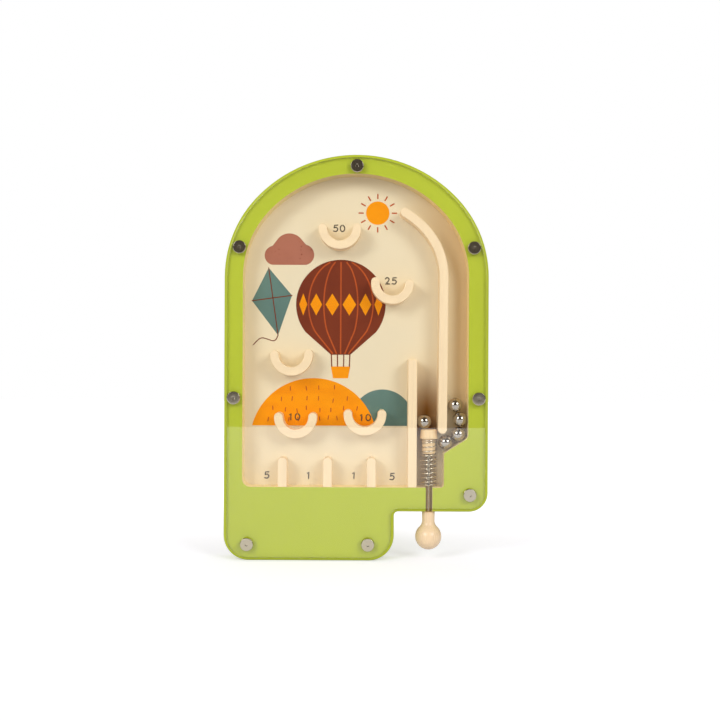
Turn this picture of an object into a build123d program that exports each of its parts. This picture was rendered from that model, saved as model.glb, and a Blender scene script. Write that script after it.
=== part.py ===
from build123d import *
import math
import os

# A wooden tabletop pinball game that stands upright on its foot. X runs to the right, Z up,
# and the player looks along +Y. The origin is under the middle of its bounding box.
# Lengths are in millimetres and angles in degrees.

# Body outline
body_width = 188.8
body_height = 290.0
crown_extra = 4.6            # the crown's radius is this much more than half the width
shoulder_angle = 43.3        # the shoulder's arc turns this far before the crown takes over
foot_height = 35.1
finger_space = 15.5          # between the foot and the pull knob
foot_corner = 18.0
notch_corner = 3.0
ledge_corner = 13.5
edge_round = 2.2

# Layers from the back to the front
board_thickness = 9.0
frame_thickness = 15.0
cover_thickness = 2.0
cover_inset = 2.4

# Playing recess
border = 13.85
recess_shift = -0.5          # the recess sits a little left of the body's middle
sill_height = 17.4
recess_corner = 6.0
lane_corner = 2.5
feed_angle = 32.5            # the ramp that feeds the balls to the plunger
feed_lip_height = 24.4
feed_corner = 5.0
lip_corner = 1.0
seat_gap = 0.3               # between a loose piece and what carries it

# Rails and pocket dividers
rail_width = 6.4
rail_edge = 0.6
rail_face_gap = 0.3          # between a rail's face and the cover
return_width = 14.5
lane_width = 15.75
lane_foot_width = 19.4
divider_height = 91.4
divider_corner = 1.2
guide_end_angle = 59.0
guide_lean = 0.35            # the guide's straight part leans towards the field at its foot
throat_gap = 1.5             # between the guide's foot and the ball that passes under it
pocket_divider_width = 6.5
pocket_divider_height = 20.9
first_pocket = 28.5           # up to the middle of the first divider
second_pocket = 32.3
last_pocket = 26.0

# Scoring cups, placed by shares of the playing field's width and height
cup_radius = 15.3
cup_wall = 6.2
cup_shares = {
    "cup_50": (0.583, 0.828),
    "cup_25": (0.903, 0.653),
    "cup_left": (0.294, 0.423),
    "cup_10_left": (0.32, 0.223),
    "cup_10_right": (0.74, 0.233),
}
cup_turn_angles = {"cup_25": -3.5, "cup_left": 2.2}

# Plunger
rod_diameter = 4.0
groove_clearance = 0.4
socket_clearance = 0.03
rod_in_head = 13.0
rod_in_knob = 14.0
head_clearance = 2.75        # how much narrower the head's flange is than the lane
head_side_gap = 0.35         # between the flange and the line of the lane's right side
flange_height = 6.8
flange_taper = 0.7
neck_diameter = 9.6
neck_length = 10.8
head_corner = 0.5
spring_space = 34.4          # from the lane's floor to the underside of the head's flange
spring_wire = 0.75
spring_wire_sides = 6
spring_turns = 12
spring_close_halves = 2      # half turns that lie close together at each end
spring_end_pitch = 1.15
spring_clearance = 0.25
knob_diameter = 18.9
knob_length = 27.6
knob_neck_diameter = 9.1
knob_mouth_diameter = 9.4
knob_flare = 6.0

# Balls
ball_diameter = 10.5
ball_to_head_gap = 0.35

# Cover screws and their threaded inserts
screw_diameter = 5.0
screw_length = 12.0
screw_tip_gap = 1.0
screw_head_diameter = 9.5
screw_head_height = 2.75
screw_head_land = 1.6
screw_head_flat = 7.4
socket_across_flats = 2.0
socket_depth = 1.2
cover_hole_clearance = 0.25
insert_wall = 0.8
insert_length = 9.0
insert_clearance = 0.05
crown_screw_offset = 1.8     # each offset is counted inwards from the border's middle line
shoulder_screw_offset = 1.1
side_screw_offset = 0.3
shoulder_screw_angle = 16.2
side_screw_height = 116.0
foot_screw_left = 17.0
foot_screw_right = 18.7
foot_screw_height = 12.0
ledge_screw_in = 13.3
ledge_screw_up = 12.5

level_match = 0.01           # how far an edge may lie from the depth it is looked for at

# Where the layers meet
depth = board_thickness + frame_thickness + cover_thickness + screw_head_height
back_y = depth / 2
board_y = back_y - board_thickness
frame_y = board_y - frame_thickness
cover_y = frame_y - cover_thickness
middle_y = (board_y + frame_y) / 2

# The three-centred arch
half_width = body_width / 2
crown_radius = half_width + crown_extra
crown_z = body_height - crown_radius
turn_cos = math.cos(math.radians(shoulder_angle))
turn_sin = math.sin(math.radians(shoulder_angle))
shoulder_radius = (half_width - crown_radius * turn_cos) / (1 - turn_cos)
shoulder_x = (crown_radius - shoulder_radius) * turn_cos
shoulder_z = crown_z + (crown_radius - shoulder_radius) * turn_sin

# Lines that the recess, the rails and the plunger share
floor_z = foot_height + sill_height
wall_left = recess_shift - half_width + border
wall_right = recess_shift + half_width - border
guide_inset = border + return_width
guide_x = recess_shift + half_width - guide_inset
lane_right = guide_x - rail_width
lane_left = lane_right - lane_width
divider_x = lane_left - rail_width
feed_x = lane_left + lane_foot_width
lip_z = floor_z + feed_lip_height
feed_tan = math.tan(math.radians(feed_angle))
feed_cos = math.cos(math.radians(feed_angle))
field_width = divider_x - wall_left
field_height = body_height - border - floor_z
rail_height = frame_thickness - rail_face_gap

flange_radius = (lane_width - head_clearance) / 2
plunger_x = lane_right - head_side_gap - flange_radius
foot_x = plunger_x - knob_diameter / 2 - finger_space
flange_z = floor_z + spring_space
head_top_z = flange_z + flange_height
head_bottom_z = flange_z - neck_length
knob_top_z = foot_height - seat_gap


def ball_places():
    """Centres of the balls: one on the plunger, then the queue from the feed ramp upwards."""
    radius = ball_diameter / 2
    step = ball_diameter + seat_gap
    on_ramp = (radius + seat_gap) / feed_cos
    launch = (lane_left + radius + seat_gap, head_top_z + radius + seat_gap)

    x1 = plunger_x + flange_radius + ball_to_head_gap + radius
    z1 = lip_z + (x1 - feed_x) * feed_tan + on_ramp
    x2 = min(x1 + step * feed_cos, wall_right - radius - seat_gap)
    z2 = z1 + math.sqrt(step**2 - (x2 - x1) ** 2)
    x3 = wall_right - radius - seat_gap
    z3 = z2 + math.sqrt(step**2 - (x3 - x2) ** 2)
    x4 = guide_x + radius + seat_gap
    z4 = z3 + math.sqrt(step**2 - (x4 - x3) ** 2)
    return {
        "launch_ball": launch,
        "queue_ball_1": (x1, z1),
        "queue_ball_2": (x2, z2),
        "queue_ball_3": (x3, z3),
        "queue_ball_4": (x4, z4),
    }


def screw_places():
    """Centres of the eight cover screws, seen from the front."""
    line = border / 2
    angle = math.radians(shoulder_screw_angle)
    reach = shoulder_radius - line - shoulder_screw_offset
    shoulder = (shoulder_x + reach * math.cos(angle), shoulder_z + reach * math.sin(angle))
    side = half_width - line - side_screw_offset
    return [
        (0, body_height - line - crown_screw_offset),
        (-shoulder[0], shoulder[1]),
        shoulder,
        (-side, side_screw_height),
        (side, side_screw_height),
        (foot_screw_left - half_width, foot_screw_height),
        (foot_x - foot_screw_right, foot_screw_height),
        (half_width - ledge_screw_in, foot_height + ledge_screw_up),
    ]


def plate(face, rear_y, thickness):
    """Raise a face drawn in X and Z from the depth rear_y towards the front."""
    upright = Plane(origin=(0, rear_y, 0), x_dir=(1, 0, 0), z_dir=(0, -1, 0))
    return extrude(upright * face, amount=thickness)


def edges_at(solid, y):
    """The edges of a solid that lie wholly at the depth y."""
    return solid.edges().filter_by_position(Axis.Y, y - level_match, y + level_match)


def arch(inset, middle_x=0):
    """The arch's three arcs, from the right springing to the left one."""
    shoulder = shoulder_radius - inset
    turn = shoulder_angle
    return [
        CenterArc((middle_x + shoulder_x, shoulder_z), shoulder, 0, turn),
        CenterArc((middle_x, crown_z), crown_radius - inset, turn, 180 - 2 * turn),
        CenterArc((middle_x - shoulder_x, shoulder_z), shoulder, 180 - turn, turn),
    ]


def body_outline(inset):
    """The whole body seen from the front, with its foot and ledge, drawn in by inset."""
    side = half_width - inset
    foot_side = foot_x - inset
    ledge = foot_height + inset
    lower = FilletPolyline(
        [
            (-side, shoulder_z),
            (-side, inset),
            (foot_side, inset),
            (foot_side, ledge),
            (side, ledge),
            (side, shoulder_z),
        ],
        radius=[foot_corner - inset, foot_corner - inset, notch_corner + inset, ledge_corner - inset],
    )
    return make_face([*arch(inset), *lower.edges()])


def recess_outline():
    """The playing recess, with the lane's foot and the feed ramp at its lower right."""
    lower = FilletPolyline(
        [
            (wall_left, shoulder_z),
            (wall_left, floor_z),
            (feed_x, floor_z),
            (feed_x, lip_z),
            (wall_right, lip_z + (wall_right - feed_x) * feed_tan),
            (wall_right, shoulder_z),
        ],
        radius=[recess_corner, lane_corner, lip_corner, feed_corner],
    )
    return make_face([*arch(border, recess_shift), *lower.edges()])


def make_frame():
    """The ring between the board and the cover, with the rod's groove and the insert holes."""
    ring = plate(body_outline(0), board_y, frame_thickness)
    ring = fillet(edges_at(ring, frame_y), edge_round)
    ring -= plate(recess_outline(), board_y, frame_thickness)

    groove_width = rod_diameter + 2 * groove_clearance
    groove_length = sill_height + 2 * seat_gap
    groove = Pos(plunger_x, middle_y, foot_height - seat_gap) * Cylinder(
        groove_width / 2, groove_length, align=(Align.CENTER, Align.CENTER, Align.MIN)
    )
    groove += Pos(plunger_x, middle_y, foot_height - seat_gap) * Box(
        groove_width, frame_thickness, groove_length, align=(Align.CENTER, Align.MAX, Align.MIN)
    )
    ring -= groove

    hole_radius = screw_diameter / 2 + insert_wall + insert_clearance
    hole_depth = screw_length - cover_thickness + screw_tip_gap
    for x, z in screw_places():
        ring -= plate(Pos(x, z) * Circle(hole_radius), frame_y + hole_depth, hole_depth)
    return ring


def make_back_board():
    """The board behind the frame; its front face is the printed playing field."""
    board = plate(body_outline(0), back_y, board_thickness)
    return fillet(edges_at(board, back_y), edge_round)


def make_cover():
    """The clear sheet that covers the whole front."""
    face = body_outline(cover_inset)
    for x, z in screw_places():
        face -= Pos(x, z) * Circle(screw_diameter / 2 + cover_hole_clearance)
    return plate(face, frame_y, cover_thickness)


def make_screws():
    """Eight button-head screws with a hexagon socket."""
    top = screw_head_height
    land = screw_head_land
    rim = screw_head_diameter / 2
    flat = screw_head_flat / 2
    # The dome is part of a ball whose centre lies on the screw's axis
    dome_z = (top**2 + flat**2 - land**2 - rim**2) / (2 * (top - land))
    low = math.degrees(math.atan2(land - dome_z, rim))
    high = math.degrees(math.atan2(top - dome_z, flat))
    crown = CenterArc((0, dome_z), math.hypot(rim, land - dome_z), low, high - low)
    shank = screw_diameter / 2
    sides = Polyline(
        [
            (flat, top),
            (0, top),
            (0, -screw_length),
            (shank, -screw_length),
            (shank, 0),
            (rim, 0),
            (rim, land),
        ]
    )
    screw = revolve(Plane.XZ * make_face([crown, *sides.edges()]), Axis.Z)
    hexagon = RegularPolygon(socket_across_flats / 2, 6, major_radius=False)
    screw -= Pos(0, 0, top) * extrude(hexagon, amount=-socket_depth)
    return Compound(children=[Pos(x, cover_y, z) * Rot(90, 0, 0) * screw for x, z in screw_places()])


def make_inserts():
    """Eight threaded brass inserts, sunk a little below the frame's front."""
    bore = screw_diameter / 2 + insert_clearance
    outside = screw_diameter / 2 + insert_wall
    ring = Circle(outside) - Circle(bore)
    body = extrude(ring, amount=-insert_length)
    sunk = frame_y + seat_gap
    return Compound(children=[Pos(x, sunk, z) * Rot(90, 0, 0) * body for x, z in screw_places()])


def make_rail(face):
    """A wooden rail, divider or cup, glued to the board, with its front edges eased."""
    rail = plate(face, board_y, rail_height)
    return chamfer(edges_at(rail, board_y - rail_height), rail_edge)


def make_lane_divider():
    """The straight rail between the playing field and the launch lane."""
    top_z = floor_z + divider_height
    outline = FilletPolyline(
        [(divider_x, floor_z), (divider_x, top_z), (lane_left, top_z), (lane_left, floor_z)],
        radius=divider_corner,
    )
    foot = Line((lane_left, floor_z), (divider_x, floor_z))
    return make_rail(make_face([*outline.edges(), foot]))


def make_curved_guide():
    """The rail that follows the arch from above the feed ramp and throws the ball inwards."""
    cap = rail_width / 2
    outer = shoulder_radius - guide_inset
    inner = outer - rail_width
    lean = math.radians(guide_lean)
    across = Vector(math.cos(lean), -math.sin(lean))
    down = Vector(-math.sin(lean), -math.cos(lean))
    shoulder = Vector(recess_shift + shoulder_x, shoulder_z)

    # The middle line of the straight part stops where the first ball still passes under its cap
    start = shoulder + across * (outer - cap)
    from_ball = start - Vector(*ball_places()["queue_ball_1"])
    reach = ball_diameter / 2 + throat_gap + cap
    nearing = -from_ball.dot(down)
    length = nearing - math.sqrt(nearing**2 + reach**2 - from_ball.dot(from_ball))
    foot = start + down * length

    turn = shoulder_angle
    tail = guide_end_angle - turn
    crown = Vector(recess_shift, crown_z)
    crown_outer = crown_radius - guide_inset
    end = math.radians(guide_end_angle)
    end_centre = crown + Vector(math.cos(end), math.sin(end)) * (crown_outer - cap)
    outline = [
        CenterArc(foot, cap, 180 - guide_lean, 180),
        Line(foot + across * cap, shoulder + across * outer),
        CenterArc(shoulder, outer, -guide_lean, turn + guide_lean),
        CenterArc(crown, crown_outer, turn, tail),
        CenterArc(end_centre, cap, guide_end_angle, 180),
        CenterArc(crown, crown_outer - rail_width, turn, tail),
        CenterArc(shoulder, inner, -guide_lean, turn + guide_lean),
        Line(shoulder + across * inner, foot - across * cap),
    ]
    return make_rail(make_face(outline))


def make_pocket_dividers():
    """The three round-topped dividers that part the scoring pockets."""
    cap = pocket_divider_width / 2
    top_z = floor_z + pocket_divider_height - cap
    places = {
        "left": wall_left + first_pocket,
        "middle": wall_left + first_pocket + second_pocket,
        "right": divider_x - last_pocket,
    }
    dividers = {}
    for name, x in places.items():
        outline = [
            CenterArc((x, top_z), cap, 0, 180),
            Line((x - cap, top_z), (x - cap, floor_z)),
            Line((x - cap, floor_z), (x + cap, floor_z)),
            Line((x + cap, floor_z), (x + cap, top_z)),
        ]
        dividers[f"pocket_divider_{name}"] = make_rail(make_face(outline))
    return dividers


def make_cup(name):
    """A half ring with rounded arms that catches a ball."""
    share_x, share_z = cup_shares[name]
    inner = cup_radius - cup_wall
    middle = cup_radius - cup_wall / 2
    outline = make_face(
        [
            CenterArc((0, 0), cup_radius, 180, 180),
            CenterArc((middle, 0), cup_wall / 2, 0, 180),
            CenterArc((0, 0), inner, 180, 180),
            CenterArc((-middle, 0), cup_wall / 2, 0, 180),
        ]
    )
    x = wall_left + share_x * field_width
    z = floor_z + share_z * field_height
    return make_rail(Pos(x, z) * Rot(0, 0, cup_turn_angles.get(name, 0)) * outline)


def make_head():
    """The turned head that strikes the ball: a tapered flange over a neck for the spring."""
    neck = neck_diameter / 2
    socket = rod_diameter / 2 + socket_clearance
    top = flange_radius - flange_taper
    outline = Polyline(
        [
            (0, head_top_z),
            (top - head_corner, head_top_z),
            (top, head_top_z - head_corner),
            (flange_radius, flange_z + head_corner),
            (flange_radius - head_corner, flange_z),
            (neck, flange_z),
            (neck, head_bottom_z + head_corner),
            (neck - head_corner, head_bottom_z),
            (socket, head_bottom_z),
            (socket, head_bottom_z + rod_in_head + seat_gap),
            (0, head_bottom_z + rod_in_head + seat_gap),
            (0, head_top_z),
        ]
    )
    return Pos(plunger_x, middle_y, 0) * revolve(Plane.XZ * make_face(outline.edges()), Axis.Z)


def make_rod():
    """The steel rod between the head and the knob."""
    low = knob_top_z - rod_in_knob
    high = head_bottom_z + rod_in_head
    rod = Cylinder(rod_diameter / 2, high - low, align=(Align.CENTER, Align.CENTER, Align.MIN))
    return Pos(plunger_x, middle_y, low) * rod


def make_knob():
    """The turned pull knob: a ball that flows into a waisted neck."""
    ball = knob_diameter / 2
    neck = knob_neck_diameter / 2
    mouth = knob_mouth_diameter / 2
    bottom_z = knob_top_z - knob_length
    centre_z = bottom_z + ball
    # The flare's arc touches the ball from outside and the neck's side
    flare_x = neck + knob_flare
    flare_z = centre_z + math.sqrt((ball + knob_flare) ** 2 - flare_x**2)
    touch = ball / (ball + knob_flare)
    meet = (flare_x * touch, centre_z + (flare_z - centre_z) * touch)
    turn = math.degrees(math.atan2(meet[1] - centre_z, meet[0]))
    outline = [
        CenterArc((0, centre_z), ball, -90, 90 + turn),
        CenterArc((flare_x, flare_z), knob_flare, 180, turn),
        Line((neck, flare_z), (mouth, knob_top_z - head_corner)),
        Line((mouth, knob_top_z - head_corner), (mouth - head_corner, knob_top_z)),
        Line((mouth - head_corner, knob_top_z), (0, knob_top_z)),
        Line((0, knob_top_z), (0, bottom_z)),
    ]
    knob = revolve(Plane.XZ * make_face(outline), Axis.Z)
    socket = rod_in_knob + seat_gap
    knob -= Pos(0, 0, knob_top_z - socket) * Cylinder(
        rod_diameter / 2 + socket_clearance, socket, align=(Align.CENTER, Align.CENTER, Align.MIN)
    )
    return Pos(plunger_x, middle_y, 0) * knob


def biarc(start, start_tangent, end, end_tangent):
    """Two arcs in space that join start to end and keep both tangents."""
    chord = end - start
    both = start_tangent + end_tangent
    spread = 2 * (1 - start_tangent.dot(end_tangent))
    along = chord.dot(both)
    reach = (math.sqrt(along**2 + spread * chord.dot(chord)) - along) / spread
    start_handle = start + start_tangent * reach
    end_handle = end - end_tangent * reach
    middle = (start_handle + end_handle) * 0.5
    middle_tangent = (end_handle - start_handle).normalized()
    return [
        Edge.make_tangent_arc(start, start_tangent, middle),
        Edge.make_tangent_arc(middle, middle_tangent, end),
    ]


def make_spring():
    """The plunger's spring: one wire, with a close turn at each end."""
    radius = neck_diameter / 2 + spring_clearance + spring_wire / 2
    low = floor_z + seat_gap + spring_wire / 2
    rise = spring_space - 2 * seat_gap - spring_wire
    halves = 2 * spring_turns
    closed = spring_close_halves
    open_share = [0.0 if k < closed or k > halves - closed else 1.0 for k in range(halves + 1)]
    # Half a turn climbs half of the mean pitch at its two ends, a quarter of their sum
    open_rise = sum(a + b for a, b in zip(open_share, open_share[1:])) / 4
    open_pitch = (rise - spring_turns * spring_end_pitch) / open_rise

    stations = []
    z = low
    last_pitch = None
    for k, share in enumerate(open_share):
        pitch = spring_end_pitch + share * open_pitch
        z += 0 if last_pitch is None else (last_pitch + pitch) / 4
        last_pitch = pitch
        angle = math.pi * k
        point = Vector(radius * math.cos(angle), radius * math.sin(angle), z)
        tangent = Vector(-math.sin(angle), math.cos(angle), pitch / (2 * math.pi * radius))
        stations.append((point, tangent.normalized()))

    first, first_way = stations[0]
    last, last_way = stations[-1]
    path = [Edge.make_line(first - first_way * spring_wire, first)]
    for (start, way), (end, end_way) in zip(stations, stations[1:]):
        path += biarc(start, way, end, end_way)
    path.append(Edge.make_line(last, last + last_way * spring_wire))

    points = [edge.position_at(share) for edge in path for share in (0, 0.25, 0.5, 0.75)]
    apart = 10
    least = min(
        (points[i] - points[j]).length
        for i in range(len(points))
        for j in range(i + apart, len(points))
    )
    print(f"spring: open pitch {open_pitch + spring_end_pitch:.2f} mm,"
          f" least gap to itself {least - spring_wire:.2f} mm")

    section = Plane(origin=first - first_way * spring_wire, z_dir=first_way) * RegularPolygon(
        spring_wire / 2, spring_wire_sides
    )
    tube = sweep(section, path=Wire(path))
    return Pos(plunger_x, middle_y, 0) * tube


def make_balls():
    """The five steel balls."""
    return {
        name: Pos(x, middle_y, z) * Sphere(ball_diameter / 2)
        for name, (x, z) in ball_places().items()
    }


def make_parts():
    """Every piece of the game under its own name."""
    parts = {
        "frame": make_frame(),
        "back_board": make_back_board(),
        "cover_sheet": make_cover(),
        "cover_screws": make_screws(),
        "threaded_inserts": make_inserts(),
        "lane_divider": make_lane_divider(),
        "curved_guide": make_curved_guide(),
        "plunger_head": make_head(),
        "plunger_rod": make_rod(),
        "plunger_knob": make_knob(),
        "plunger_spring": make_spring(),
    }
    parts.update(make_pocket_dividers())
    parts.update({name: make_cup(name) for name in cup_shares})
    parts.update(make_balls())
    return parts


os.makedirs("parts", exist_ok=True)
for name, part in make_parts().items():
    export_step(part, f"parts/{name}.step")
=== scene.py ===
# %% [markdown]
# # Dressing a wooden pinball game
# The game's solids are finished and stand still: a painted frame, a board, rails, cups, a sprung
# plunger, steel balls and a clear cover. This lesson gives them their looks. Some solids only need
# a finish. Others get a finer mesh that stands in their place, such as a rail whose edges are
# rounded by hand. Every length is in metres, X runs to the right, Z up, and the player looks
# along +Y.

# %% Load the solids
import math
import random

import bmesh
import bpy
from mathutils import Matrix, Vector


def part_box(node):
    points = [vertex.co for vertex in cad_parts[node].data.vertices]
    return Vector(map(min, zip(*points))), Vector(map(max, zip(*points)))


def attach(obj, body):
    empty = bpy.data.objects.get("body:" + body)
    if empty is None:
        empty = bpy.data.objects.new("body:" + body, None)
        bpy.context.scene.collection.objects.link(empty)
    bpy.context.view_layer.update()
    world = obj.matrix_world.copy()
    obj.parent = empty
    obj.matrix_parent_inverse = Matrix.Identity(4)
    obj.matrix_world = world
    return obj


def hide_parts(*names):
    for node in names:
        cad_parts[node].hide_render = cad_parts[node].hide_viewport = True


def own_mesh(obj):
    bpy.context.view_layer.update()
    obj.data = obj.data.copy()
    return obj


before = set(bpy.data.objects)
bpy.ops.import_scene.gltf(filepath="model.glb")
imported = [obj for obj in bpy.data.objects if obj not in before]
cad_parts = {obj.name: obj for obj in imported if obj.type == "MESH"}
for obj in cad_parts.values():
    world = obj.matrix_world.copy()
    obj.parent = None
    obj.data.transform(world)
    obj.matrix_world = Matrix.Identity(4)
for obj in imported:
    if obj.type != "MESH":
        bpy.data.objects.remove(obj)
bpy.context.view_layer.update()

# %% [markdown]
# The layers of the game are flat, so four depths place nearly everything: the cover's face, the
# frame's face, the rails' faces and the printed board. They could be typed in, but they are read
# from the solids, so the looks follow when a board gets thicker.

# %% Depths of the layers
cover_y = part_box("cover_sheet")[0].y
frame_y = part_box("frame")[0].y
rail_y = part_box("lane_divider")[0].y
board_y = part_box("back_board")[0].y
print("depths in mm:", [round(depth * 1000, 2) for depth in (cover_y, frame_y, rail_y, board_y)])

# %% [markdown]
# ## The camera
# A frontal picture has no vanishing lines to match, so three things settle the camera: how wide
# the picture is at the cover, how far away it was taken, and the point it looks at. The inner
# walls show a little more on the far side, which gives the distance. The lens could be found by
# trying, but it follows from the width and the distance, so it is worked out. The game leans by a
# quarter of a degree, and the camera is rolled the other way.

# %% The camera
picture_width = 0.5122
camera_distance = 0.78
camera_x = 0.0026
camera_z = 0.1433
camera_roll = math.radians(-0.27)

lens_data = bpy.data.cameras.new("camera")
lens_data.lens = lens_data.sensor_width * camera_distance / picture_width
camera = bpy.data.objects.new("camera", lens_data)
camera.location = (camera_x, cover_y - camera_distance, camera_z)
camera.rotation_euler = (math.pi / 2, camera_roll, 0)
bpy.context.scene.collection.objects.link(camera)
bpy.context.scene.camera = camera
print("lens in mm:", round(lens_data.lens, 1))

# %% [markdown]
# ## Shader maths as plain Python
# A material that varies over a surface is a formula. Wiring a formula by hand hides it, so two
# small classes let it be written down. The first is `Value`, one output of a node. Arithmetic on
# it adds Math nodes, and a plain number may stand on either side.

# %% Values that know arithmetic
class Value:
    """One output of a shader node. Sums and products on it become Math nodes."""

    def __init__(self, shader, socket):
        self.shader = shader
        self.socket = socket

    def math(self, operation, *numbers):
        return self.shader.node("Math", {"operation": operation}, list(numbers))

    def out(self, name):
        """Another output of the same node."""
        return Value(self.shader, self.socket.node.outputs[name])

    def __add__(self, other):
        return self.math("ADD", self, other)

    def __radd__(self, other):
        return self.math("ADD", other, self)

    def __sub__(self, other):
        return self.math("SUBTRACT", self, other)

    def __rsub__(self, other):
        return self.math("SUBTRACT", other, self)

    def __mul__(self, other):
        return self.math("MULTIPLY", self, other)

    def __rmul__(self, other):
        return self.math("MULTIPLY", other, self)

    def __truediv__(self, other):
        return self.math("DIVIDE", self, other)

    def __rtruediv__(self, other):
        return self.math("DIVIDE", other, self)

    def __abs__(self):
        return self.math("ABSOLUTE", self)

    def __gt__(self, limit):
        return self.math("GREATER_THAN", self, limit)

    def __lt__(self, limit):
        return self.math("LESS_THAN", self, limit)

    def either(self, other):
        return self.math("MAXIMUM", self, other)

    def ramp(self, low, high):
        """0 below low, 1 above high, and smooth between them."""
        smooth = {"interpolation_type": "SMOOTHSTEP"}
        return self.shader.node("MapRange", smooth, {"Value": self, "From Min": low, "From Max": high})


print("values can be added, multiplied and compared")

# %% [markdown]
# The second class is `Shader`, one material. A node is added by naming its type, its settings and
# what goes into its sockets. Settings come first, because a setting such as a Math node's
# operation can change the sockets. The patterns that come back, such as stretched noise or a
# blend of two colours, are methods built on that one.

# %% Materials built by calls
class Shader:
    """The node tree of a material or of the world."""

    def __init__(self, name, owner=None):
        self.owner = owner or bpy.data.materials.new(name)
        self.owner.use_nodes = True
        self.tree = self.owner.node_tree
        self.tree.nodes.clear()

    def node(self, kind, settings=None, inputs=None, output=0):
        """Add a node: its settings first, then the value or link of each socket that is named."""
        made = self.tree.nodes.new("ShaderNode" + kind)
        for name, value in (settings or {}).items():
            setattr(made, name, value)
        pairs = inputs.items() if isinstance(inputs, dict) else enumerate(inputs or [])
        for name, value in pairs:
            if isinstance(value, Value):
                self.tree.links.new(value.socket, made.inputs[name])
            else:
                made.inputs[name].default_value = value
        return None if output is None else Value(self, made.outputs[output])

    def axes(self, vector):
        split = self.node("SeparateXYZ", inputs=[vector])
        return split.out("X"), split.out("Y"), split.out("Z")

    def place(self):
        """Where a point lies in the game's own frame, in metres."""
        return self.node("TexCoord", output="Object")

    def facing(self):
        """The way the surface looks, as its shares along X, Y and Z."""
        return self.axes(self.node("NewGeometry", output="Normal"))

    def stretch(self, vector, scales):
        return self.node("VectorMath", {"operation": "MULTIPLY"}, [vector, scales])

    def noise(self, scales, detail, roughness=0.5):
        """Cloudy values about 0.5. The scales say how many clouds fit in a metre along X, Y and Z."""
        return self.node("TexNoise", inputs={
            "Vector": self.stretch(self.place(), scales),
            "Scale": 1.0,
            "Detail": detail,
            "Roughness": roughness,
        })

    def blend(self, share, first, second):
        """A colour on the way from first to second. A Mix node has its colours at 6, 7 and out at 2."""
        return self.node("Mix", {"data_type": "RGBA"}, {0: share, 6: first, 7: second}, output=2)

    def bump(self, height, depth):
        """A normal bent by a height from 0 to 1, where 1 stands depth metres proud."""
        return self.node("Bump", inputs={"Height": height, "Distance": depth, "Strength": 1.0})

    def surface(self, **sockets):
        """Finish the material with one Principled shader; its sockets are named as words_with_lines."""
        named = {}
        for words, value in sockets.items():
            named[words.replace("_", " ").title().replace("Ior", "IOR")] = value
        return self.finish(self.node("BsdfPrincipled", inputs=named))

    def finish(self, shader):
        kind = "OutputWorld" if isinstance(self.owner, bpy.types.World) else "OutputMaterial"
        self.node(kind, inputs={"Surface": shader}, output=None)
        return self.owner


print("materials can be written")

# %% [markdown]
# Colours are written as a picture editor shows them, because that is how a colour is compared with
# a real thing. Blender wants the light that they stand for, which falls off faster: a middle grey
# is only about a fifth of white.

# %% Colours
def srgb(red, green, blue):
    """A colour as a picture editor shows it, from 0 to 255, as the light it stands for."""
    shares = [channel / 255 for channel in (red, green, blue)]
    light = [share / 12.92 if share <= 0.04045 else ((share + 0.055) / 1.055) ** 2.4 for share in shares]
    return (*light, 1.0)


def dim(colour, share):
    """The same colour, darker below a share of 1 and lighter above it."""
    return (*[min(channel * share, 1.0) for channel in colour[:3]], 1.0)


print("a grey of 128 is this share of white:", round(srgb(128, 128, 128)[0], 3))

# %% [markdown]
# ## The studio
# The balls answer the question of where the lamps were: each shows two bright squares, up and to
# either side, and a pale lower half. So there are two soft boxes in front, 35 degrees to each side
# and 22 degrees up, over a white floor. On a mirror ball a highlight sits halfway between the
# viewer and the lamp, which is how those angles were found. Boxes close by would light the near
# side more, so they stand far off, and the whole face is lit evenly.

# %% Two soft boxes
lamp_azimuth = math.radians(35)
lamp_height = math.radians(22)
lamp_distance = 4.0
lamp_size = 1.5
lamp_powers = {-1: 60.0, 1: 54.0}
target_z = 0.15
target = Vector((0, board_y, target_z))
for side, lamp_power in lamp_powers.items():
    toward = Vector((
        side * math.sin(lamp_azimuth) * math.cos(lamp_height),
        -math.cos(lamp_azimuth) * math.cos(lamp_height),
        math.sin(lamp_height),
    ))
    box_light = bpy.data.lights.new(f"soft_box_{side}", "AREA")
    box_light.energy = lamp_power
    box_light.size = lamp_size
    lamp = bpy.data.objects.new(f"soft_box_{side}", box_light)
    lamp.location = target + toward * lamp_distance
    lamp.rotation_mode = "QUATERNION"
    lamp.rotation_quaternion = toward.to_track_quat("Z", "Y")
    bpy.context.scene.collection.objects.link(lamp)
print("the right lamp stands at", [round(c, 2) for c in lamp.location])

# %% [markdown]
# A product picture has a white surround, but a mirror must not see white everywhere, or steel
# looks like plastic. The world therefore tells rays apart: the camera sees white, polished things
# see a dim room, and everything else gets a soft fill. The fill is strong, because light bounces
# about in a deep, pale recess, and a little warm, because it has bounced between wooden walls.

# %% The room
bpy.context.scene.view_settings.view_transform = "Standard"
white_strength = 1.0
dim_strength = 0.115
dim_tone = srgb(222, 204, 188)
fill_strength = 0.65
fill_tone = (0.84, 0.8, 0.73, 1)


def mirrored(ray):
    """1 for a ray that a mirror or a clear sheet sends on."""
    return ray.out("Is Glossy Ray").either(ray.out("Is Transmission Ray"))


world = bpy.data.worlds.new("room")
bpy.context.scene.world = world
room = Shader("room", world)
ray = room.node("LightPath")
fill = room.node("Background", inputs={"Color": fill_tone, "Strength": fill_strength})
dim_room = room.node("Background", inputs={"Color": dim_tone, "Strength": dim_strength})
white = room.node("Background", inputs={"Color": (1, 1, 1, 1), "Strength": white_strength})
lit = room.node("MixShader", inputs=[mirrored(ray), fill, dim_room])
room.finish(room.node("MixShader", inputs=[ray.out("Is Camera Ray"), lit, white]))
print("fill", fill_strength, "dim room", dim_strength)

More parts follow.
